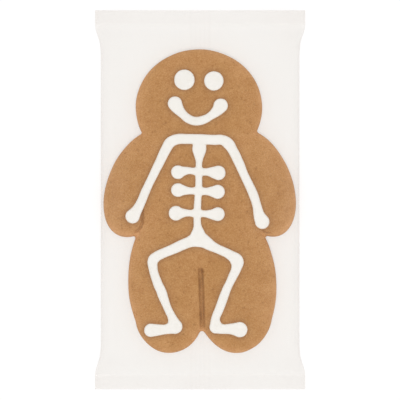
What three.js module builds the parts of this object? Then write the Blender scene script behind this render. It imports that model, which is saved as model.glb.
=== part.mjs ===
// A gingerbread man sealed in a clear flow wrap, lying on its back with its iced side up.
// Millimetres. The head points to +Y and the iced side to +Z. The origin is in the middle of
// the flat underside, under the middle of the wrapper.
// The wrapper is one sealed, shut body: a tube of film, flattened and crimped across both ends,
// whose top sinks a little wherever there is no biscuit under it.

import * as THREE from 'three';
import { LoftGeometry } from 'three/addons/geometries/LoftGeometry.js';
import { mergeVertices } from 'three/addons/utils/BufferGeometryUtils.js';

// The wrapper
const packLength = 170.5; // between the two cut ends
const packThickness = 9.4; // round the biscuit and its icing
const filmFlatWidth = 94.9; // of the tube pressed flat, as it is in the end seals
const sealDepth = 6.6; // of each crimped end seal
const sealThickness = 0.6;
const closingLength = 14; // in which the tube opens from a seal to its full thickness

// The crimp of an end seal: ridges that run across the wrapper
const ridgePitch = 1.65;
const ridgeHeight = 0.14;

// The top film, sunk beside the biscuit
const sinkDepth = 1.3;
const sinkReach = 8; // from the biscuit's edge out to the full depth
const shoulderReach = 7; // from the wrapper's rounded side in to the full depth

// The biscuit under the film, as overlapping ovals: middle, half width, half length, turn
const biscuitLobes = [
  { name: 'head', x: -0.4, y: 41.6, halfWidth: 28.4, halfLength: 26.3, turn: 2 },
  { name: 'left arm', x: -26.3, y: 7.4, halfWidth: 14.9, halfLength: 25.7, turn: -24 },
  { name: 'right arm', x: 26.6, y: 7.5, halfWidth: 14.5, halfLength: 25.2, turn: 22 },
  { name: 'body', x: 0, y: 4, halfWidth: 25, halfLength: 32, turn: 0 },
  { name: 'left leg', x: -12.2, y: -33.8, halfWidth: 20, halfLength: 35.5, turn: -4 },
  { name: 'right leg', x: 14.2, y: -36, halfWidth: 19.9, halfLength: 33.2, turn: 6 },
];

// How finely the faces are laid
const topSteps = 28; // across the top film
const bottomSteps = 4; // across the flat underside
const sideSteps = 7; // round each rounded side
const bodyStep = 3.4; // along the straight tube
const closingSteps = 9; // along each closing stretch
const stepsPerRidge = 4;

const middleHeight = packThickness / 2; // of the seals, half way up the wrapper

// 0 below zero, 1 above one, and a smooth rise between
function ease(value) {
  const t = THREE.MathUtils.clamp(value, 0, 1);
  return t * t * (3 - 2 * t);
}

function distanceFromEnd(y) {
  return packLength / 2 - Math.abs(y);
}

// The tube's thickness at y: thin in the seals, full along the biscuit
function thicknessAt(y) {
  const opening = ease((distanceFromEnd(y) - sealDepth) / closingLength);
  return sealThickness + (packThickness - sealThickness) * opening;
}

// How far a point lies outside the biscuit's edge, 0 or less on the biscuit
function distanceFromBiscuit(x, y) {
  let nearest = Infinity;
  for (const lobe of biscuitLobes) {
    const offset = new THREE.Vector2(x - lobe.x, y - lobe.y);
    offset.rotateAround(new THREE.Vector2(), -THREE.MathUtils.degToRad(lobe.turn));
    const reach = Math.hypot(offset.x / lobe.halfWidth, offset.y / lobe.halfLength);
    nearest = Math.min(nearest, reach < 1 ? 0 : offset.length() * (1 - 1 / reach));
  }
  return nearest;
}

// How far the top film sinks at a point
function sinkAt(x, y, flatHalf) {
  const besideBiscuit = ease(distanceFromBiscuit(x, y) / sinkReach);
  const insideShoulder = ease((flatHalf - Math.abs(x)) / shoulderReach);
  const opened = (thicknessAt(y) - sealThickness) / (packThickness - sealThickness);
  return sinkDepth * besideBiscuit * insideShoulder * opened;
}

// The crimp's wave, faded out where the seal opens into the tube
function ridgeAt(y) {
  const distance = distanceFromEnd(y);
  const fade = ease((sealDepth - distance) / ridgePitch);
  return ridgeHeight * Math.sin(2 * Math.PI * distance / ridgePitch) * fade;
}

// One closed section of the tube at y: a flat-sided band of film with half-round sides.
// The film's girth is the same all along, so the tube is narrower where it is thicker.
function section(y) {
  const radius = thicknessAt(y) / 2;
  const flatHalf = (filmFlatWidth - Math.PI * radius) / 2;
  const centre = middleHeight + ridgeAt(y);
  const points = [];
  for (let i = 0; i <= sideSteps; i++) {
    const angle = Math.PI * i / sideSteps;
    points.push(new THREE.Vector3(
      -flatHalf - radius * Math.sin(angle), y, centre - radius * Math.cos(angle)));
  }
  for (let i = 1; i < topSteps; i++) {
    const x = flatHalf * (2 * i / topSteps - 1);
    points.push(new THREE.Vector3(x, y, centre + radius - sinkAt(x, y, flatHalf)));
  }
  for (let i = 0; i <= sideSteps; i++) {
    const angle = Math.PI * i / sideSteps;
    points.push(new THREE.Vector3(
      flatHalf + radius * Math.sin(angle), y, centre + radius * Math.cos(angle)));
  }
  for (let i = 1; i < bottomSteps; i++) {
    const x = flatHalf * (1 - 2 * i / bottomSteps);
    points.push(new THREE.Vector3(x, y, centre - radius));
  }
  return points;
}

// The places of the sections, from one cut end to the other
function stations() {
  const fromEnd = [];
  const ridgeSteps = Math.round(sealDepth / ridgePitch) * stepsPerRidge;
  for (let i = 0; i < ridgeSteps; i++) {
    fromEnd.push(sealDepth * i / ridgeSteps);
  }
  for (let i = 0; i < closingSteps; i++) {
    fromEnd.push(sealDepth + closingLength * i / closingSteps);
  }
  const straightHalf = packLength / 2 - sealDepth - closingLength;
  const bodySteps = Math.round(2 * straightHalf / bodyStep);
  const along = fromEnd.map((distance) => distance - packLength / 2);
  for (let i = 0; i <= bodySteps; i++) {
    along.push(straightHalf * (2 * i / bodySteps - 1));
  }
  return along.concat(fromEnd.reverse().map((distance) => packLength / 2 - distance));
}

function wrapper() {
  const loft = new LoftGeometry(stations().map(section), { capStart: true, capEnd: true });
  const faces = new THREE.BufferGeometry();
  faces.setIndex(loft.index);
  faces.setAttribute('position', loft.getAttribute('position'));
  const geometry = mergeVertices(faces);
  geometry.computeVertexNormals();
  const film = new THREE.MeshStandardMaterial({
    color: 0xf4f1ec,
    roughness: 0.18,
    metalness: 0,
  });
  const mesh = new THREE.Mesh(geometry, film);
  mesh.name = 'film_wrapper';
  return mesh;
}

const group = new THREE.Group();
group.add(wrapper());

export default group;
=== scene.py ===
# A gingerbread man with piped skeleton icing, sealed in a clear flow wrap and lying on a pale floor.
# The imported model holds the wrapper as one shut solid; here it gives way to film, biscuit and icing.

import math
import random

import bmesh
import bpy
from mathutils import Matrix, Vector, kdtree, noise


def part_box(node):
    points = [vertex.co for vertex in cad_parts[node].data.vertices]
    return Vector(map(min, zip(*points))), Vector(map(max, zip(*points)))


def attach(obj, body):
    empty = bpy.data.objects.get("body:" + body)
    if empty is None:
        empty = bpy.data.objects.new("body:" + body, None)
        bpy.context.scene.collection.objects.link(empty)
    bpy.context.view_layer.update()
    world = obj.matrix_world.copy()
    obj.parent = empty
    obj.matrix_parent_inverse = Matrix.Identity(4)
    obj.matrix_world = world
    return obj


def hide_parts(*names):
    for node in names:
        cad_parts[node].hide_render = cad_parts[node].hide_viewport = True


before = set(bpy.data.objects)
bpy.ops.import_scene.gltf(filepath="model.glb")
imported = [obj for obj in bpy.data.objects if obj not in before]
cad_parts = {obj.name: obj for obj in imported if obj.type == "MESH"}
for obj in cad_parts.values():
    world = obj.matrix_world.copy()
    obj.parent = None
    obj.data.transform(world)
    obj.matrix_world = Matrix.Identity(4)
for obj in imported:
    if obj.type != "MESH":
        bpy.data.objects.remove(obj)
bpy.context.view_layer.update()        # one body, "root", with one node, "film_wrapper"

mm = 0.001
low, high = [Vector(corner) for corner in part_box("film_wrapper")]
middle = (low + high) / 2
packLength = high.y - low.y
packThickness = high.z - low.z
sealWidth = high.x - low.x


def ease(value):
    # 0 below zero, 1 above one, a smooth rise between
    t = min(max(value, 0.0), 1.0)
    return t * t * (3 - 2 * t)


def noiseAt(x, y, z, size, seed=0):
    # smooth noise from about -1 to 1, in lumps about as wide as size
    return noise.noise(Vector((x / size + 17.3 * seed, y / size - 9.1 * seed, z / size)))


def newObject(name, mesh):
    obj = bpy.data.objects.new(name, mesh)
    bpy.context.scene.collection.objects.link(obj)
    return obj


def meshFromBmesh(bm, name):
    mesh = bpy.data.meshes.new(name)
    bm.to_mesh(mesh)
    bm.free()
    return mesh


def applyModifiers(obj):
    # swaps the object's mesh for the one its modifiers make
    graph = bpy.context.evaluated_depsgraph_get()
    shaped = bpy.data.meshes.new_from_object(obj.evaluated_get(graph))
    before = obj.data
    obj.modifiers.clear()
    obj.data = shaped
    shaped.name = before.name
    bpy.data.meshes.remove(before)


def mergeSolids(obj, voxel, rounds):
    # melts overlapping solids into one skin and rounds off the steps
    remesh = obj.modifiers.new("Remesh", "REMESH")
    remesh.mode = "VOXEL"
    remesh.voxel_size = voxel
    smooth = obj.modifiers.new("Smooth", "SMOOTH")
    smooth.factor = 0.5
    smooth.iterations = rounds
    applyModifiers(obj)


def reshape(obj, move):
    # puts each vertex where move says; all normals are read before the first one moves
    moved = [move(vert.co.copy(), vert.normal.copy()) for vert in obj.data.vertices]
    for vert, place in zip(obj.data.vertices, moved):
        vert.co = place


def shadeSmooth(obj):
    for face in obj.data.polygons:
        face.use_smooth = True


biscuit = {
    "thickness": 7.0 * mm,
    "liftOffFilm": 0.3 * mm,   # of its underside above the wrapper's
    "topRim": 2.7 * mm,        # radius of the rounded upper edge
    "bottomRim": 1.1 * mm,
    "crown": 0.3 * mm,         # how much the middle stands above the edges
    "crownReach": 12 * mm,
    "voxel": 0.5 * mm,
    "smoothRounds": 5,
    # relief of the baked top: height of its lumps and how wide they are
    "relief": [(0.10 * mm, 7 * mm), (0.065 * mm, 2.3 * mm), (0.05 * mm, 1.2 * mm)],
    "topBand": (0.3125, 0.9375),  # shares of the thickness between which the top's relief comes up
    "swell": 0.14 * mm,        # of the sides, in and out
    "swellWidth": 9 * mm,
    "swellReach": 4 * mm,      # inwards from the outline
    # overlapping ovals: middle x and y, half width, half length in mm, and turn in degrees
    "lobes": {
        "head": (-0.55, 41.5, 28.5, 26.3, 0.5),
        "leftArm": (-26.3, 7.4, 15.0, 25.7, -24),
        "rightArm": (26.6, 7.5, 14.6, 25.3, 22),
        "body": (0, 4, 25, 32, 0),
        "leftLeg": (-12.4, -33.7, 19.85, 34.4, -3.8),
        "leftFoot": (-13.8, -51.0, 15.6, 17.9, 0),
        "rightLeg": (14.3, -36.0, 19.9, 33.1, 5.5),
        "rightFoot": (16.6, -50.0, 16.0, 18.6, 0),
        "betweenLegs": (0.9, -54.1, 3.6, 5.0, 0),
    },
    # soft furrows in the top: (x, y) points in mm; a ridge is the share of the depth that the
    # middle line rises again
    "furrows": {
        "legSlit": {"path": [(0.2, -30.4), (0.5, -38), (0.8, -46), (0.95, -52), (1.0, -57.4)],
                    "halfWidth": 1.6 * mm, "depth": 1.9 * mm, "ridge": 0.5, "lineAt": 0.55 * mm},
        "leftCrease": {"path": [(-26.2, -3.6), (-25.9, -6.2), (-25.9, -10.4), (-26.9, -12.7),
                                (-29.0, -14.6)],
                       "halfWidth": 1.0 * mm, "depth": 0.85 * mm, "ridge": 0, "lineAt": 0},
        "rightCrease": {"path": [(27.4, -13.6), (29.3, -14.7), (31.4, -15.0)],
                        "halfWidth": 0.8 * mm, "depth": 0.6 * mm, "ridge": 0, "lineAt": 0},
    },
    "furrowFade": 1.5 * mm,            # in which a furrow comes up from either end
    "furrowEnds": (0.2, 0.5),          # how far along that rise its first and last points are
    "fineReach": (1.5, 1.15),          # half widths within which faces are cut finer, once and twice
    "ridgeWidth": 0.4 * mm,
    "lineWidth": 0.34 * mm,
    "lineUneven": (1.6, 6 * mm),       # how much a dark line varies along its length, and how often
    "furrowDark": (0.35, 0.6),         # painted shade of the whole furrow, and of the lines in it
    # lighter rim: its share and reach close to the edge, and further in; close to the edge it is partly
    # the crumb's paler edge and partly painted light on the rounded rim
    "edgeLight": (0.5, 1.25 * mm),
    "farLight": (0.25, 10 * mm),
    "ringStart": 0.5 * mm,             # the painted shadow ring round the icing comes up in this
    "ringFoot": 0.3,                   # how far along that rise the icing's foot is
    "ringReach": 0.9 * mm,             # and the ring dies out over this
    "poreCount": 700,
    "poreSeed": 11,
    "poreRadius": (0.4 * mm, 0.85 * mm),
    "poreDepth": (0.1 * mm, 0.3 * mm),
}


def lobeReach(lobe, x, y):
    # 0 in the middle of an oval and 1 on its edge; also its shorter half width
    cx, cy, halfWidth, halfLength, turn = lobe
    dx, dy = x - middle.x - cx * mm, y - middle.y - cy * mm
    c, s = math.cos(math.radians(turn)), math.sin(math.radians(turn))
    across, along = dx * c + dy * s, dy * c - dx * s
    reach = math.hypot(across / (halfWidth * mm), along / (halfLength * mm))
    return reach, min(halfWidth, halfLength) * mm


def insideBiscuit(x, y):
    # how deep a point lies inside the outline, less than 0 outside it
    best = -1.0
    for lobe in biscuit["lobes"].values():
        reach, halfWidth = lobeReach(lobe, x, y)
        best = max(best, (1 - reach) * halfWidth)
    return best


def furrowAt(x, y, furrow):
    # distance to a furrow's middle line, less than 0 on the right of its run; also a share that
    # fades at its ends
    here = Vector((x - middle.x, y - middle.y))
    points = [Vector(p) * mm for p in furrow["path"]]
    nearest, alongIt, total, side = 1.0, 0.0, 0.0, 1
    for a, b in zip(points, points[1:]):
        step = b - a
        t = min(max((here - a).dot(step) / step.length_squared, 0), 1)
        distance = (here - a - step * t).length
        if distance < nearest:
            nearest, alongIt = distance, total + t * step.length
            side = 1 if step.cross(here - a) > 0 else -1
        total += step.length
    fade = biscuit["furrowFade"]
    first, last = biscuit["furrowEnds"]
    return side * nearest, ease(alongIt / fade + first) * ease((total - alongIt) / fade + last)


def furrowCut(across, y, furrow):
    # how deep a furrow is at a place across it, and how much painted shade darkens it there
    bowl = 1 - ease(abs(across) / furrow["halfWidth"])
    ridge = furrow["ridge"] * math.exp(-(across / biscuit["ridgeWidth"]) ** 2)
    line = math.exp(-((abs(across) - furrow["lineAt"]) / biscuit["lineWidth"]) ** 2)
    uneven, length = biscuit["lineUneven"]
    line *= 1 + uneven * noiseAt(math.copysign(1, across), y, 0, length, seed=7)
    wholeDark, lineDark = biscuit["furrowDark"]
    return furrow["depth"] * (bowl - ridge), wholeDark * bowl + lineDark * line


def topOfBiscuit(x, y):
    # height of the biscuit's top before furrows and pores
    crown = biscuit["crown"] * ease(insideBiscuit(x, y) / biscuit["crownReach"])
    return low.z + biscuit["liftOffFilm"] + biscuit["thickness"] + crown


def addLobe(bm, lobe):
    cx, cy, halfWidth, halfLength, turn = lobe
    bottom = low.z + biscuit["liftOffFilm"]
    place = (Matrix.Translation((middle.x + cx * mm, middle.y + cy * mm, bottom))
             @ Matrix.Rotation(math.radians(turn), 4, "Z")
             @ Matrix.Diagonal((halfWidth * mm, halfLength * mm, 1, 1)))
    made = bmesh.ops.create_circle(bm, cap_ends=True, radius=1, segments=96, matrix=place)
    base = made["verts"][0].link_faces[0]
    raised = bmesh.ops.extrude_face_region(bm, geom=[base])["geom"]
    topVerts = [g for g in raised if isinstance(g, bmesh.types.BMVert)]
    bmesh.ops.translate(bm, verts=topVerts, vec=(0, 0, biscuit["thickness"]))
    topFace = [g for g in raised if isinstance(g, bmesh.types.BMFace)][0]
    bottomFace = [f for f in made["verts"][0].link_faces if len(f.verts) > 4][0]
    rims = ((topFace, biscuit["topRim"], 7), (bottomFace, biscuit["bottomRim"], 4))
    for face, radius, segments in rims:
        bmesh.ops.bevel(bm, geom=list(face.edges), offset=radius, offset_type="OFFSET",
                        affect="EDGES", segments=segments, profile=0.5, material=-1)


def refineFurrows(obj):
    # cuts the faces along the furrows finer, twice over
    top = low.z + biscuit["liftOffFilm"] + biscuit["thickness"] / 2
    bm = bmesh.new()
    bm.from_mesh(obj.data)
    for reach in biscuit["fineReach"]:
        near = set()
        for furrow in biscuit["furrows"].values():
            wide = furrow["halfWidth"] * reach
            xs = [middle.x + x * mm for x, y in furrow["path"]]
            ys = [middle.y + y * mm for x, y in furrow["path"]]
            for vert in bm.verts:
                x, y, z = vert.co
                besideX = min(xs) - wide < x < max(xs) + wide
                besideY = min(ys) - wide < y < max(ys) + wide
                if z > top and besideX and besideY and abs(furrowAt(x, y, furrow)[0]) < wide:
                    near.add(vert)
        edges = [e for e in bm.edges if e.verts[0] in near and e.verts[1] in near]
        bmesh.ops.subdivide_edges(bm, edges=edges, cuts=1, use_grid_fill=True)
    bm.to_mesh(obj.data)
    bm.free()


def scatterPores():
    # a tree of pore places, and each one's radius and depth
    rng = random.Random(biscuit["poreSeed"])
    pores = kdtree.KDTree(biscuit["poreCount"])
    sizes = []
    for index in range(biscuit["poreCount"]):
        place = (rng.uniform(low.x, high.x), rng.uniform(low.y, high.y), 0)
        pores.insert(place, index)
        sizes.append((rng.uniform(*biscuit["poreRadius"]), rng.uniform(*biscuit["poreDepth"])))
    pores.balance()
    return pores, sizes


def makeBiscuit(icingEdges):
    # icingEdges is a tree of points on the icing's foot
    bm = bmesh.new()
    for lobe in biscuit["lobes"].values():
        addLobe(bm, lobe)
    bmesh.ops.recalc_face_normals(bm, faces=bm.faces)
    obj = newObject("biscuit", meshFromBmesh(bm, "biscuit"))
    mergeSolids(obj, biscuit["voxel"], biscuit["smoothRounds"])
    refineFurrows(obj)

    pores, poreSizes = scatterPores()
    bottom = low.z + biscuit["liftOffFilm"]
    shades = {"rimToneAndLight": [], "furrowPaintedShade": [], "icingShadow": [], "poreShadow": []}
    edgeShare, edgeReach = biscuit["edgeLight"]
    farShare, farReach = biscuit["farLight"]
    bandStart, bandEnd = biscuit["topBand"]

    def settle(co, normal):
        x, y, z = co
        raised = (z - bottom) / biscuit["thickness"]
        upper = ease((raised - bandStart) / (bandEnd - bandStart))  # 0 on the underside, 1 on the top
        depth = insideBiscuit(x, y)
        lift = biscuit["crown"] * ease(depth / biscuit["crownReach"])
        for seed, (height, width) in enumerate(biscuit["relief"]):
            lift += height * noiseAt(x, y, 0, width, seed)
        shade = 0.0
        for furrow in biscuit["furrows"].values():
            across, ends = furrowAt(x, y, furrow)
            if abs(across) < furrow["halfWidth"]:
                # painted shade in the furrow
                cut, dark = furrowCut(across, y, furrow)
                lift -= cut * ends
                shade = max(shade, dark * ends)
        _, pore, distance = pores.find((x, y, 0))
        radius, poreDepth = poreSizes[pore]
        # a pore fades on the upright sides, where it would smear into a streak
        pit = max(1 - (distance / radius) ** 2, 0) ** 2 * normal.z ** 2
        swell = biscuit["swell"] * noiseAt(x, y, z, biscuit["swellWidth"], seed=4)
        swell *= 1 - ease(depth / biscuit["swellReach"])
        inside = max(depth, 0)
        # lighter towards the edge: near it partly paler crumb and partly painted light on the rounded rim
        shades["rimToneAndLight"].append(edgeShare * math.exp(-(inside / edgeReach) ** 2)
                                  + farShare * math.exp(-inside / farReach))
        # painted shadow on the biscuit round the icing's foot
        fromIcing = icingEdges.find((x, y, 0))[2]
        ring = math.exp(-fromIcing / biscuit["ringReach"])
        ring *= ease(fromIcing / biscuit["ringStart"] + biscuit["ringFoot"])
        shades["icingShadow"].append(ring * upper)
        shades["furrowPaintedShade"].append(shade * upper)
        # painted shade in each pore's pit
        shades["poreShadow"].append(pit * poreDepth / biscuit["poreDepth"][1])
        # pores pit the top and the underside alike
        lift = lift * upper + pit * poreDepth * (1 - 2 * upper)
        return x + swell * normal.x, y + swell * normal.y, z + lift

    reshape(obj, settle)
    for name, values in shades.items():
        obj.data.attributes.new(name, "FLOAT", "POINT").data.foreach_set("value", values)
    shadeSmooth(obj)
    return obj


icing = {
    "height": 0.9 * mm,       # that the widest dots come up to
    "softness": 1.15 * mm,    # bead radius at which the height levels off
    "sunk": 0.35 * mm,        # below the biscuit's top
    "voxel": 0.28 * mm,
    "smoothRounds": 5,
    "uneven": (0.06, 4 * mm),        # of the height along a bead: its share and how often
    "wobble": (0.07 * mm, 3 * mm),   # of the outline: how far and how often
    "footBand": 0.2 * mm,     # height off the biscuit's top within which a point counts as the foot
    # piped strokes: (x, y, half width) in mm along each one
    "pieces": {
        "icing_eye_left": [[(-7.05, 53.85, 4.65)]],
        "icing_eye_right": [[(6.15, 53.35, 4.4)]],
        "icing_mouth": [[(-11.3, 43.2, 3.25), (-10.0, 41.0, 2.75), (-8.0, 38.7, 2.05), (-5.2, 36.3, 2.0),
                         (-1.9, 35.3, 2.0), (1.5, 35.9, 2.0), (4.8, 37.7, 1.9), (7.7, 40.1, 2.65),
                         (9.2, 42.2, 3.3)]],
        "icing_skeleton": [
            # left hand, arm, shoulders, right arm and hand
            [(-30.3, -7.4, 3.25), (-28.6, -4.9, 2.5), (-26.6, -1.3, 2.1), (-24.9, 2.9, 2.05),
             (-23.1, 6.8, 1.95), (-20.9, 11.3, 2.0), (-17.5, 18.2, 2.2), (-15.2, 23.0, 2.35),
             (-13.3, 25.8, 2.5), (-10.2, 27.2, 2.4), (-6.0, 27.3, 2.3), (0, 27.2, 2.3), (6.0, 26.9, 2.3),
             (10.0, 26.8, 2.35), (12.5, 25.3, 2.6), (14.6, 22.3, 2.3), (17.7, 16.0, 2.2),
             (19.5, 11.8, 2.0), (22.5, 5.5, 2.1), (23.9, 2.3, 2.15), (25.6, -3.2, 2.1),
             (26.5, -6.9, 2.65), (27.85, -9.8, 3.3)],
            # breastbone and spine
            [(-0.3, 26.5, 2.6), (-0.35, 23.2, 3.2), (-0.4, 20.8, 2.75), (-0.45, 17.8, 1.7),
             (-0.55, 15.3, 1.5), (-0.6, 12.6, 1.6), (-0.6, 8.5, 1.6), (-0.7, 4.0, 1.6),
             (-1.1, -1.0, 1.65), (-1.3, -6.0, 1.7), (-1.3, -9.0, 1.7), (-1.15, -12.0, 1.95),
             (-0.95, -14.4, 3.05), (-1.0, -17.3, 3.9)],
            # ribs
            [(-9.9, 12.4, 3.15), (-7.8, 12.8, 2.35), (-5.6, 13.1, 1.75), (-3.2, 12.9, 1.6),
             (-0.7, 12.7, 2.3), (2.0, 12.5, 1.7), (4.3, 12.5, 2.1), (6.2, 12.3, 2.8), (8.2, 12.1, 3.3)],
            [(-9.9, 4.4, 3.15), (-8.0, 4.3, 2.55), (-5.8, 4.1, 1.85), (-3.2, 4.0, 1.6),
             (-0.7, 4.0, 2.3), (2.0, 3.8, 1.7), (4.3, 3.8, 2.1), (6.2, 3.7, 2.75), (7.9, 3.6, 3.2)],
            [(-10.8, -6.0, 3.35), (-8.9, -6.0, 2.65), (-6.7, -5.9, 1.85), (-4.0, -6.0, 1.6),
             (-1.3, -6.0, 2.3), (1.2, -6.2, 1.6), (3.6, -6.4, 1.9), (5.7, -6.5, 2.55), (7.95, -6.4, 3.15)],
            # left leg and foot
            [(-1.0, -17.3, 3.9), (-4.3, -18.7, 2.65), (-8.5, -20.4, 2.45), (-11.9, -22.0, 2.35),
             (-16.0, -23.7, 2.25), (-19.7, -25.6, 2.35), (-21.1, -27.1, 2.45), (-21.1, -30.6, 2.1),
             (-19.3, -36.8, 2.1), (-17.4, -41.1, 2.3), (-16.4, -43.9, 2.15), (-14.6, -48.5, 1.85),
             (-12.4, -53.2, 2.15), (-11.3, -56.8, 3.4)],
            [(-11.3, -56.8, 3.4), (-14.6, -57.9, 2.4), (-18.0, -58.3, 2.5), (-22.1, -58.5, 3.05)],
            # right leg and foot
            [(-1.0, -17.3, 3.9), (2.1, -18.75, 3.1), (4.8, -20.5, 2.5), (8.5, -22.3, 2.1),
             (13.7, -24.9, 2.3), (16.4, -27.4, 3.1), (16.3, -30.4, 2.4), (14.0, -35.7, 2.0),
             (11.8, -40.4, 2.0), (10.3, -44.4, 2.1), (8.3, -49.7, 2.05), (6.9, -53.4, 2.05),
             (7.1, -57.1, 2.95)],
            [(7.1, -57.1, 2.95), (9.9, -57.9, 2.3), (13.8, -57.9, 2.5), (17.8, -58.2, 3.5)],
        ],
    },
}


def strokeMesh(strokes):
    # a round bead of icing along each stroke, before it settles
    curve = bpy.data.curves.new("strokes", "CURVE")
    curve.dimensions = "3D"
    curve.bevel_depth = 1 * mm  # so that a point's radius is its half width in mm
    curve.bevel_resolution = 6
    curve.resolution_u = 6
    curve.use_fill_caps = True
    for stroke in strokes:
        if len(stroke) < 2:
            continue
        spline = curve.splines.new("BEZIER")
        spline.bezier_points.add(len(stroke) - 1)
        spline.radius_interpolation = "CARDINAL"
        for point, (x, y, halfWidth) in zip(spline.bezier_points, stroke):
            point.co = (middle.x + x * mm, middle.y + y * mm, 0)
            point.radius = halfWidth
            point.handle_left_type = "AUTO"
            point.handle_right_type = "AUTO"
    obj = bpy.data.objects.new("strokes", curve)
    bpy.context.scene.collection.objects.link(obj)
    graph = bpy.context.evaluated_depsgraph_get()
    beads = bpy.data.meshes.new_from_object(obj.evaluated_get(graph))
    bpy.data.objects.remove(obj)
    bpy.data.curves.remove(curve)
    bm = bmesh.new()
    bm.from_mesh(beads)
    bpy.data.meshes.remove(beads)
    for stroke in strokes:
        for x, y, halfWidth in (stroke[0], stroke[-1]):
            place = Matrix.Translation((middle.x + x * mm, middle.y + y * mm, 0))
            bmesh.ops.create_uvsphere(bm, u_segments=32, v_segments=20, radius=halfWidth * mm,
                                      matrix=place)
    return bm


def makeIcing(name, strokes):
    obj = newObject(name, meshFromBmesh(strokeMesh(strokes), name))
    mergeSolids(obj, icing["voxel"], icing["smoothRounds"])
    thinToneAndLight = []
    uneven, unevenLength = icing["uneven"]
    wobble, wobbleLength = icing["wobble"]

    def settle(co, normal):
        x, y, z = co
        share = math.tanh(z / icing["softness"])
        # 1 at a bead's foot: biscuit showing through, and painted light on the steep sides
        thinToneAndLight.append(1 - max(share, 0))
        if z > 0:
            z = icing["height"] * share * (1 + uneven * noiseAt(x, y, 0, unevenLength, seed=5))
        else:
            z = icing["sunk"] * math.tanh(z / icing["sunk"])
        shift = wobble * noiseAt(x, y, 0, wobbleLength, seed=6)
        x += shift * normal.x
        y += shift * normal.y
        return x, y, z + topOfBiscuit(x, y)

    reshape(obj, settle)
    obj.data.attributes.new("thinToneAndLight", "FLOAT", "POINT").data.foreach_set("value", thinToneAndLight)
    shadeSmooth(obj)
    return obj


def footOf(pieces):
    # a tree of the points where the icing meets the biscuit, laid flat
    foot = [vert.co for piece in pieces for vert in piece.data.vertices
            if abs(vert.co.z - topOfBiscuit(vert.co.x, vert.co.y)) < icing["footBand"]]
    tree = kdtree.KDTree(len(foot))
    for index, co in enumerate(foot):
        tree.insert((co.x, co.y, 0), index)
    tree.balance()
    return tree


film = {
    "sealDepth": 6.6 * mm,
    "sealThickness": 0.2 * mm,
    "topClosing": 14 * mm,         # in which the top rises from a seal to its full height
    "backClosing": 8.5 * mm,
    "ridgePitch": 1.1 * mm,        # of the crimp
    "ridgeHeight": 0.1 * mm,
    "sinkDepth": 1.2 * mm,         # of the top film beside the biscuit
    "sinkReach": 8 * mm,
    "shoulderReach": 7 * mm,
    "gatherDepth": 0.4 * mm,       # of the short folds that run in from the seals
    "gatherStart": 4 * mm,         # from the seal, where they are deepest
    "gatherReach": 15 * mm,        # in which they die out again
    "gatherPitch": 6 * mm,
    "gatherStretch": 6,            # how many times longer than wide
    "gatherSharpness": 3,          # higher makes them narrower
    "waveDepth": 0.08 * mm,
    "waveWidth": 18 * mm,
    "waveStretch": 2,
    "sideFade": 9 * mm,            # reach of the painted shade at the film's curved sides
    "lowerCorner": 0.5,            # 1 is a round corner, and less is squarer
    "sealCloudAndEdgeShade": (0.6, 1.0),       # cloudiness of the seals' middle, and painted shade added along their edges
    "rimReach": 0.9 * mm,          # of the painted shade line along the seals' edges
    "lapHalf": 5 * mm,             # half the width of the lengthwise seam welded along the back
    "lapHeight": 0.14 * mm,        # that it stands out below the back
    "lapEdge": 0.35 * mm,          # in which it comes up
    "lapRidges": 5,
    "lapRidgeShare": 0.25,         # of its height
    "sectionsInTube": 150,         # between the seals
    "sectionsPerRidge": 5,
    "topSteps": 90,
    "sideSteps": 20,
    "backSteps": 20,               # on each side of the seam
    "lapSteps": 30,
}
# half of the film's girth, taken at the flat seals; it sets how wide the tube is where it is open
girthHalf = sealWidth + (math.pi / 2 - 1) * film["sealThickness"]


def opening(y, closing):
    # 0 in the seals, 1 along the biscuit
    fromEnd = packLength / 2 - abs(y - middle.y)
    return ease((fromEnd - film["sealDepth"]) / closing)


def crimpAt(y):
    # how far the seal's ridges lift the film
    fromEnd = packLength / 2 - abs(y - middle.y)
    fade = ease((film["sealDepth"] - fromEnd) / film["ridgePitch"])
    return film["ridgeHeight"] * math.sin(2 * math.pi * fromEnd / film["ridgePitch"]) * fade


def topRelief(x, y, flatHalf):
    # how far the top film lies off a flat sheet
    opened = opening(y, film["topClosing"])
    shoulder = ease((flatHalf - abs(x - middle.x)) / film["shoulderReach"])
    sink = film["sinkDepth"] * ease(-insideBiscuit(x, y) / film["sinkReach"]) * shoulder * opened
    # short gathers run in from each seal and die out over the biscuit
    fromSeal = packLength / 2 - abs(y - middle.y) - film["sealDepth"]
    end = 11 if y > middle.y else 12
    crossing = noiseAt(x, fromSeal / film["gatherStretch"], 0, film["gatherPitch"], seed=end)
    fold = 1 - min(abs(crossing) * film["gatherSharpness"], 1)
    gather = film["gatherDepth"] * fold ** 2 * shoulder
    start = film["gatherStart"]
    gather *= ease(fromSeal / start) * (1 - ease((fromSeal - start) / film["gatherReach"]))
    swing = noiseAt(x, y / film["waveStretch"], 0, film["waveWidth"], seed=13)
    waves = film["waveDepth"] * (swing - 1) * opened * shoulder
    return waves - gather - sink


def lapAt(x):
    # how far the welded seam stands out of the back at x from its middle
    edge = ease((film["lapHalf"] - abs(x)) / film["lapEdge"])
    ridge = math.cos(math.pi * film["lapRidges"] * x / film["lapHalf"])
    return film["lapHeight"] * edge * (1 - film["lapRidgeShare"] * (1 - ridge))


def sidePoint(turn):
    # a side of the film from its top (0) to its back (pi): round above, and squarer below, where
    # it is drawn round the biscuit's lower edge
    power = 1 if turn < math.pi / 2 else film["lowerCorner"]
    return math.sin(turn) ** power, math.copysign(abs(math.cos(turn)) ** power, math.cos(turn))


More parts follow.
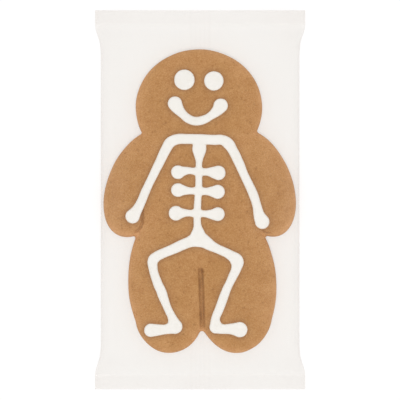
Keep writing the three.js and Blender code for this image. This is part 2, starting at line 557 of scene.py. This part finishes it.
def filmSection(y):
    # the film's closed girth at y: top from left to right, side, back with its seam, side
    half = (packThickness - film["lapHeight"] - film["sealThickness"]) / 2
    level = middle.z + film["lapHeight"] / 2 + crimpAt(y)
    top = level + film["sealThickness"] / 2 + half * opening(y, film["topClosing"])
    back = level - film["sealThickness"] / 2 - half * opening(y, film["backClosing"])
    radius = (top - back) / 2
    centre = (top + back) / 2
    flatHalf = (girthHalf - math.pi * radius) / 2
    sides = [sidePoint(math.pi * i / film["sideSteps"]) for i in range(1, film["sideSteps"])]
    backShares = [i / film["backSteps"] for i in range(film["backSteps"])]
    lapPlaces = [film["lapHalf"] * (1 - 2 * i / film["lapSteps"])
                 for i in range(film["lapSteps"] + 1)]

    section = []
    for i in range(film["topSteps"] + 1):
        x = flatHalf * (2 * i / film["topSteps"] - 1)
        section.append((x, top + topRelief(middle.x + x, y, flatHalf)))
    section += [(flatHalf + radius * out, centre + radius * up) for out, up in sides]
    section += [(flatHalf + (film["lapHalf"] - flatHalf) * share, back) for share in backShares]
    section += [(x, back - lapAt(x)) for x in lapPlaces]
    section += [((flatHalf - film["lapHalf"]) * share - flatHalf, back) for share in reversed(backShares)]
    section += [(-flatHalf - radius * out, centre + radius * up) for out, up in reversed(sides)]
    return [(middle.x + x, y, z) for x, z in section]


def filmStations():
    # the places of the sections, closer together over the crimp's ridges
    inSeal = round(film["sealDepth"] / film["ridgePitch"]) * film["sectionsPerRidge"]
    seal = [film["sealDepth"] * i / inSeal for i in range(inSeal)]
    tube = packLength - 2 * film["sealDepth"]
    inTube = [film["sealDepth"] + tube * i / film["sectionsInTube"]
              for i in range(film["sectionsInTube"] + 1)]
    otherSeal = [packLength - place for place in reversed(seal)]
    return [low.y + place for place in seal + inTube + otherSeal]


def makeFilm():
    sections = [filmSection(y) for y in filmStations()]
    across, along = len(sections[0]), len(sections) - 1
    bm = bmesh.new()
    bmesh.ops.create_grid(bm, x_segments=across, y_segments=along, size=1)
    # the flat sheet is rolled into a tube: a row is one section, a column one place on its girth
    for vert in bm.verts:
        column = round((vert.co.x + 1) / 2 * across) % across
        row = round((vert.co.y + 1) / 2 * along)
        vert.co = sections[row][column]
    bmesh.ops.remove_doubles(bm, verts=bm.verts, dist=0.0001 * mm)
    bmesh.ops.holes_fill(bm, edges=[e for e in bm.edges if e.is_boundary], sides=0)
    bmesh.ops.recalc_face_normals(bm, faces=bm.faces)
    obj = newObject("film_tube", meshFromBmesh(bm, "film_tube"))
    sealShade, sideShade, lapShade = [], [], []
    sealMiddle, sealRim = film["sealCloudAndEdgeShade"]
    for vert in obj.data.vertices:
        fromEnd = packLength / 2 - abs(vert.co.y - middle.y)
        fromSide = sealWidth / 2 - abs(vert.co.x - middle.x)
        # the seals' middle is cloudier, and along their edges runs a line of painted shade
        rims = math.exp(-fromEnd / film["rimReach"]) + math.exp(-fromSide / film["rimReach"])
        inSeal = ease((film["sealDepth"] - fromEnd) / film["rimReach"] + 0.5)
        sealShade.append(inSeal * (sealMiddle + sealRim * rims))
        # painted shade along the film's curved sides
        sideShade.append(math.exp(-fromSide / film["sideFade"]))
        onBack = vert.co.z < middle.z
        lapShade.append(lapAt(vert.co.x - middle.x) / film["lapHeight"] if onBack else 0)
    for name, values in (("sealShade", sealShade), ("sideShade", sideShade), ("lapShade", lapShade)):
        obj.data.attributes.new(name, "FLOAT", "POINT").data.foreach_set("value", values)
    shadeSmooth(obj)
    return obj


def addNode(tree, kind, inputs=None, **settings):
    # makes a node, sets its properties, and sets or links its inputs
    node = tree.nodes.new(kind)
    for name, value in settings.items():
        setattr(node, name, value)
    for socket, value in (inputs or {}).items():
        if isinstance(value, bpy.types.NodeSocket):
            tree.links.new(value, node.inputs[socket])
        else:
            node.inputs[socket].default_value = value
    return node


def lumps(tree, coords, size, detail=3, roughness=0.55):
    # smooth noise from 0 to 1 whose lumps are about as wide as size
    return addNode(tree, "ShaderNodeTexNoise", {"Vector": coords, "Scale": 1 / size, "Detail": detail,
                                                "Roughness": roughness}).outputs["Fac"]


def toRange(tree, value, fromLow, fromHigh, toLow, toHigh, kind="LINEAR"):
    return addNode(tree, "ShaderNodeMapRange",
                   {"Value": value, "From Min": fromLow, "From Max": fromHigh,
                    "To Min": toLow, "To Max": toHigh}, interpolation_type=kind).outputs["Result"]


def mathNode(tree, operation, first, second):
    return addNode(tree, "ShaderNodeMath", {0: first, 1: second}, operation=operation).outputs[0]


def mixColours(tree, share, first, second, blend="MIX"):
    # the node's colours are its inputs 6 and 7 and its output 2
    return addNode(tree, "ShaderNodeMix", {0: share, 6: first, 7: second},
                   data_type="RGBA", blend_type=blend).outputs[2]


def newMaterial(name):
    material = bpy.data.materials.new(name)
    material.use_nodes = True
    tree = material.node_tree
    tree.nodes.clear()
    output = addNode(tree, "ShaderNodeOutputMaterial")
    return material, tree, output


grainLook = {
    "grainShare": 0.75,        # of the fine grain in the whole, and the rest is the broader lumps
    "detail": 2,
    "lumpRoughness": 0.8,
    "grainRoughness": 0.9,
}


def makeGrainGroup():
    # grain shared by the baked and the sugary surfaces: a tone from about 0 to 1, and a height
    group = bpy.data.node_groups.new("fineGrain", "ShaderNodeTree")
    face = group.interface
    face.new_socket("Vector", in_out="INPUT", socket_type="NodeSocketVector")
    for name, value in (("Lump Scale", 500), ("Grain Scale", 1500), ("Contrast", 1)):
        face.new_socket(name, in_out="INPUT", socket_type="NodeSocketFloat").default_value = value
    face.new_socket("Tone", in_out="OUTPUT", socket_type="NodeSocketFloat")
    face.new_socket("Height", in_out="OUTPUT", socket_type="NodeSocketFloat")
    given = group.nodes.new("NodeGroupInput").outputs
    result = group.nodes.new("NodeGroupOutput")
    lump, grain = [addNode(group, "ShaderNodeTexNoise",
                           {"Vector": given["Vector"], "Scale": given[scale],
                            "Detail": grainLook["detail"], "Roughness": grainLook[rough]}).outputs["Fac"]
                   for scale, rough in (("Lump Scale", "lumpRoughness"),
                                        ("Grain Scale", "grainRoughness"))]
    height = addNode(group, "ShaderNodeMix", {0: grainLook["grainShare"], 2: lump, 3: grain},
                     data_type="FLOAT").outputs[0]
    centred = mathNode(group, "SUBTRACT", height, 0.5)
    tone = mathNode(group, "ADD", mathNode(group, "MULTIPLY", centred, given["Contrast"]), 0.5)
    group.links.new(tone, result.inputs["Tone"])
    group.links.new(height, result.inputs["Height"])
    return group


gingerbreadLook = {
    "middle": (0.467, 0.241, 0.0925, 1),
    # colour of the lighter rim: partly the crumb's paler edge, partly painted light
    "rim": (0.70, 0.376, 0.18, 1),
    "patch": (0.428, 0.213, 0.07, 1),
    "patchWidth": 11 * mm,
    "patchNoise": (0.42, 0.68),    # the noise between which a patch comes up
    "patchShare": 0.35,
    # colour of the painted shade in the pores
    "pore": (0.21, 0.094, 0.033, 1),
    "poreShare": (0.45, 0.4),      # on the top, and what the underside adds
    # colour of the painted shade in the furrows
    "furrow": (0.275, 0.14, 0.066, 1),
    "furrowShare": 0.6,
    # colour of the painted shadow beside the icing
    "shadowBesideIcing": (0.335, 0.175, 0.083, 1),
    "underside": (0.34, 0.16, 0.055, 1),
    "undersideShare": 0.8,
    "undersideBand": (0.4 * mm, 1.8 * mm),  # height in which the underside's colour dies out
    # the crumb's tone swings between these two, which multiply the colour
    "darkCrumb": (0.67, 0.51, 0.33, 1),
    "lightCrumb": (1.33, 1.49, 1.67, 1),
    "crumbLump": 6 * mm,
    "crumbGrain": 0.6 * mm,
    "crumbContrast": 1.6,
    "dotPitch": 1.9 * mm,      # fine pores, only here and there, besides the ones in the mesh; their dark dots are painted shade
    "dotEdge": (0.08, 0.26),   # shares of the pitch between which a dot dies out
    "dotPatches": 3.5 * mm,
    "dotNoise": (0.48, 0.6),
    "dotShare": 0.6,
    "dotDepth": 0.5,           # share of the bump
    "roughness": 0.85,
    "specular": 0.25,
    "bump": 0.6,
    "bumpDepth": 0.25 * mm,
}


def makeGingerbread(grain):
    look = gingerbreadLook
    material, tree, output = newMaterial("gingerbread")
    coords = addNode(tree, "ShaderNodeTexCoord").outputs["Object"]
    shade = {name: addNode(tree, "ShaderNodeAttribute", attribute_name=name).outputs["Fac"]
             for name in ("rimToneAndLight", "furrowPaintedShade", "icingShadow", "poreShadow")}
    patches = toRange(tree, lumps(tree, coords, look["patchWidth"], 3), *look["patchNoise"],
                      0, look["patchShare"])
    fine = addNode(tree, "ShaderNodeGroup", node_tree=grain)
    tree.links.new(coords, fine.inputs["Vector"])
    fine.inputs["Lump Scale"].default_value = 1 / look["crumbLump"]
    fine.inputs["Grain Scale"].default_value = 1 / look["crumbGrain"]
    fine.inputs["Contrast"].default_value = look["crumbContrast"]

    cells = addNode(tree, "ShaderNodeTexVoronoi",
                    {"Vector": coords, "Scale": 1 / look["dotPitch"]}).outputs["Distance"]
    dots = toRange(tree, cells, *look["dotEdge"], 1, 0, "SMOOTHSTEP")
    where = toRange(tree, lumps(tree, coords, look["dotPatches"], 1), *look["dotNoise"], 0, 1)
    dots = mathNode(tree, "MULTIPLY", dots, where)
    faintDots = mathNode(tree, "MULTIPLY", dots, look["dotShare"])
    # painted shade in the fine dots and in the mesh's pores
    pores = mathNode(tree, "MAXIMUM", faintDots, shade["poreShadow"])

    # lighter rim, partly paler crumb and partly painted light
    colour = mixColours(tree, shade["rimToneAndLight"], look["middle"], look["rim"])
    colour = mixColours(tree, patches, colour, look["patch"])
    height = addNode(tree, "ShaderNodeSeparateXYZ", {0: coords}).outputs["Z"]
    bandStart, bandEnd = look["undersideBand"]
    below = toRange(tree, height, low.z + bandStart, low.z + bandEnd, 1, 0)
    colour = mixColours(tree, mathNode(tree, "MULTIPLY", below, look["undersideShare"]), colour,
                        look["underside"])
    poreShare, poreBelow = look["poreShare"]
    poreStrength = mathNode(tree, "ADD", mathNode(tree, "MULTIPLY", below, poreBelow), poreShare)
    pores = mathNode(tree, "MULTIPLY", pores, poreStrength)
    furrows = mathNode(tree, "MULTIPLY", shade["furrowPaintedShade"], look["furrowShare"])
    # painted shade in the pores and furrows, and painted shadow beside the icing
    for share, name in ((pores, "pore"), (furrows, "furrow"), (shade["icingShadow"], "shadowBesideIcing")):
        colour = mixColours(tree, share, colour, look[name])
    crumb = mixColours(tree, fine.outputs["Tone"], look["darkCrumb"], look["lightCrumb"])
    colour = mixColours(tree, 1.0, colour, crumb, "MULTIPLY")

    dotPits = mathNode(tree, "MULTIPLY", dots, look["dotDepth"])
    bumpHeight = mathNode(tree, "SUBTRACT", fine.outputs["Height"], dotPits)
    bump = addNode(tree, "ShaderNodeBump", {"Strength": look["bump"], "Distance": look["bumpDepth"],
                                            "Height": bumpHeight}).outputs["Normal"]
    shader = addNode(tree, "ShaderNodeBsdfPrincipled", {"Base Color": colour, "Normal": bump,
                                                        "Roughness": look["roughness"]})
    shader.inputs["Specular IOR Level"].default_value = look["specular"]
    tree.links.new(shader.outputs[0], output.inputs["Surface"])
    return material


icingLook = {
    "colour": (0.845, 0.83, 0.80, 1),
    "cream": (0.81, 0.79, 0.74, 1),
    "thin": (0.98, 0.87, 0.72, 1),       # where the biscuit shows through at a bead's edge, and painted light that lifts the shaded steep sides
    "thinPower": 2,                      # higher keeps it closer to the edge
    "streakWidth": 5 * mm,
    "streakNoise": (0.45, 0.7),
    "streakShare": 0.5,
    "darkSugar": (0.97, 0.97, 0.965, 1),
    "lightSugar": (1.03, 1.03, 1.035, 1),
    "sugarLump": 3 * mm,
    "sugarGrain": 0.6 * mm,
    "sugarContrast": 1.6,
    "softDepth": 0.4 * mm,               # how far light strays inside the sugar
    "softShare": 0.6,
    "grainHeight": (0.3, 0.7),           # of the grain, from the first roughness to the second
    "roughness": (0.44, 0.56),
    "bump": 0.25,
    "bumpDepth": 0.08 * mm,
}


def makeIcingFinish(grain):
    look = icingLook
    material, tree, output = newMaterial("icing")
    coords = addNode(tree, "ShaderNodeTexCoord").outputs["Object"]
    thin = addNode(tree, "ShaderNodeAttribute", attribute_name="thinToneAndLight").outputs["Fac"]
    fine = addNode(tree, "ShaderNodeGroup", node_tree=grain)
    tree.links.new(coords, fine.inputs["Vector"])
    fine.inputs["Lump Scale"].default_value = 1 / look["sugarLump"]
    fine.inputs["Grain Scale"].default_value = 1 / look["sugarGrain"]
    fine.inputs["Contrast"].default_value = look["sugarContrast"]
    streaks = toRange(tree, lumps(tree, coords, look["streakWidth"], 2), *look["streakNoise"],
                      0, look["streakShare"])
    colour = mixColours(tree, streaks, look["colour"], look["cream"])
    # the bead's edge: biscuit showing through, and painted light
    colour = mixColours(tree, mathNode(tree, "POWER", thin, look["thinPower"]), colour, look["thin"])
    sugar = mixColours(tree, fine.outputs["Tone"], look["darkSugar"], look["lightSugar"])
    colour = mixColours(tree, 1.0, colour, sugar, "MULTIPLY")
    rough = toRange(tree, fine.outputs["Height"], *look["grainHeight"], *look["roughness"])
    bump = addNode(tree, "ShaderNodeBump", {"Strength": look["bump"], "Distance": look["bumpDepth"],
                                            "Height": fine.outputs["Height"]}).outputs["Normal"]
    shader = addNode(tree, "ShaderNodeBsdfPrincipled", {"Base Color": colour, "Normal": bump,
                                                        "Roughness": rough})
    shader.inputs["Subsurface Weight"].default_value = look["softShare"]
    shader.inputs["Subsurface Radius"].default_value = (1, 1, 1)
    shader.inputs["Subsurface Scale"].default_value = look["softDepth"]
    tree.links.new(shader.outputs[0], output.inputs["Surface"])
    return material


filmLook = {
    # shares of the film that hide what is behind it; seen square on it is clear
    "edgeHaze": 0.15,         # at a glancing angle
    "edgePower": 1.5,
    "sidePaintedShade": 0.05,         # painted shade along both sides, where the film curves down
    "sealHaze": 0.055,        # in the crimped seals, with painted shade along their edges
    "lapHaze": 0.025,         # along the seam of the back
    "colour": (0.75, 0.665, 0.625, 1),
    "tint": (0.9618, 0.9554, 0.9453, 1),
    "roughness": 0.12,
    "cloudWidth": 25 * mm,    # of the unevenness of all of these
    "cloudNoise": (0.35, 0.65),
    "cloudSwing": (0.85, 1.15),
    "crinkle": 0.5,
    "crinkleWidth": 4 * mm,
    "crinkleDepth": 0.05 * mm,
}


def makeFilmFinish():
    look = filmLook
    material, tree, output = newMaterial("clear_film")
    coords = addNode(tree, "ShaderNodeTexCoord").outputs["Object"]
    facing = addNode(tree, "ShaderNodeLayerWeight", {"Blend": 0.5}).outputs["Facing"]
    glancing = mathNode(tree, "POWER", facing, look["edgePower"])
    share = mathNode(tree, "MULTIPLY", glancing, look["edgeHaze"])
    for name, haze in (("sealShade", "sealHaze"), ("sideShade", "sidePaintedShade"), ("lapShade", "lapHaze")):
        place = addNode(tree, "ShaderNodeAttribute", attribute_name=name).outputs["Fac"]
        share = mathNode(tree, "ADD", share, mathNode(tree, "MULTIPLY", place, look[haze]))
    clouding = toRange(tree, lumps(tree, coords, look["cloudWidth"], 2), *look["cloudNoise"],
                       *look["cloudSwing"])
    share = mathNode(tree, "MULTIPLY", share, clouding)
    crinkles = lumps(tree, coords, look["crinkleWidth"], 2)
    bump = addNode(tree, "ShaderNodeBump", {"Strength": look["crinkle"], "Height": crinkles,
                                            "Distance": look["crinkleDepth"]})
    clear = addNode(tree, "ShaderNodeBsdfTransparent", {"Color": look["tint"]}).outputs[0]
    gloss = addNode(tree, "ShaderNodeBsdfPrincipled",
                    {"Base Color": look["colour"], "Normal": bump.outputs[0],
                     "Roughness": look["roughness"]}).outputs[0]
    mixed = addNode(tree, "ShaderNodeMixShader", {0: share, 1: clear, 2: gloss}).outputs[0]
    tree.links.new(mixed, output.inputs["Surface"])
    return material


grain = makeGrainGroup()
gingerbread = makeGingerbread(grain)
icingFinish = makeIcingFinish(grain)
clearFilm = makeFilmFinish()

icingPieces = [makeIcing(name, strokes) for name, strokes in icing["pieces"].items()]
for piece in icingPieces:
    piece.data.materials.append(icingFinish)
    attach(piece, "root")
    print(piece.name + ":", len(piece.data.polygons), "faces")

biscuitPiece = makeBiscuit(footOf(icingPieces))
biscuitPiece.data.materials.append(gingerbread)
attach(biscuitPiece, "root")
print("biscuit:", len(biscuitPiece.data.polygons), "faces")

filmPiece = makeFilm()
filmPiece.data.materials.append(clearFilm)
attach(filmPiece, "root")
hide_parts("film_wrapper")
print("film:", len(filmPiece.data.polygons), "faces")


studio = {
    "floorSize": 3.0,
    "floorGap": 0.1 * mm,      # below the wrapper's underside
    "floorColour": (0.45, 0.45, 0.45, 1),
    "floorPatch": (0.4, 0.4, 0.4, 1),
    "floorPatchWidth": 0.3,
    "floorPatchNoise": (0.3, 0.7),
    "floorPatchShare": 0.02,
    "floorRoughness": 0.9,
    "floorGlow": 0.52,         # the pack lies on a lit white table, so that it casts hardly a shadow
    "worldStrength": 0.69,
    "lampPower": 7.8,
    "lampSize": 0.5,
    "lampPlace": (0.0, -0.12, 1.3),
    "lens": 180,
    "viewWidth": 180 * mm,     # what the camera takes in, at the height of the wrapper's middle
    "viewOffset": (-0.05 * mm, -0.07 * mm),  # of the camera from that middle
}


def makeFloor():
    bm = bmesh.new()
    bmesh.ops.create_grid(bm, x_segments=1, y_segments=1, size=studio["floorSize"] / 2)
    bmesh.ops.translate(bm, verts=bm.verts, vec=(0, 0, low.z - studio["floorGap"]))
    floor = newObject("floor", meshFromBmesh(bm, "floor"))
    material, tree, output = newMaterial("floor")
    coords = addNode(tree, "ShaderNodeTexCoord").outputs["Object"]
    patches = toRange(tree, lumps(tree, coords, studio["floorPatchWidth"], 2),
                      *studio["floorPatchNoise"], 0, studio["floorPatchShare"])
    colour = mixColours(tree, patches, studio["floorColour"], studio["floorPatch"])
    shader = addNode(tree, "ShaderNodeBsdfPrincipled", {"Base Color": colour,
                                                        "Roughness": studio["floorRoughness"]})
    shader.inputs["Emission Color"].default_value = (1, 1, 1, 1)
    shader.inputs["Emission Strength"].default_value = studio["floorGlow"]
    tree.links.new(shader.outputs[0], output.inputs["Surface"])
    floor.data.materials.append(material)


def makeLight():
    world = bpy.data.worlds.new("studio")
    bpy.context.scene.world = world
    world.use_nodes = True
    background = world.node_tree.nodes["Background"]
    background.inputs["Color"].default_value = (1, 1, 1, 1)
    background.inputs["Strength"].default_value = studio["worldStrength"]

    lamp = bpy.data.lights.new("softbox", "AREA")
    lamp.energy = studio["lampPower"]
    lamp.size = studio["lampSize"]
    softbox = bpy.data.objects.new("softbox", lamp)
    softbox.location = studio["lampPlace"]
    softbox.rotation_euler = (middle - softbox.location).to_track_quat("-Z", "Y").to_euler()
    bpy.context.scene.collection.objects.link(softbox)


def makeCamera():
    lens = bpy.data.cameras.new("camera")
    lens.lens = studio["lens"]
    lens.sensor_width = 36
    camera = bpy.data.objects.new("camera", lens)
    offX, offY = studio["viewOffset"]
    distance = studio["viewWidth"] * lens.lens / lens.sensor_width
    camera.location = (middle.x + offX, middle.y + offY, middle.z + distance)
    bpy.context.scene.collection.objects.link(camera)
    bpy.context.scene.camera = camera
    bpy.context.scene.view_settings.view_transform = "Standard"


makeFloor()
makeLight()
makeCamera()
print("studio: ready")
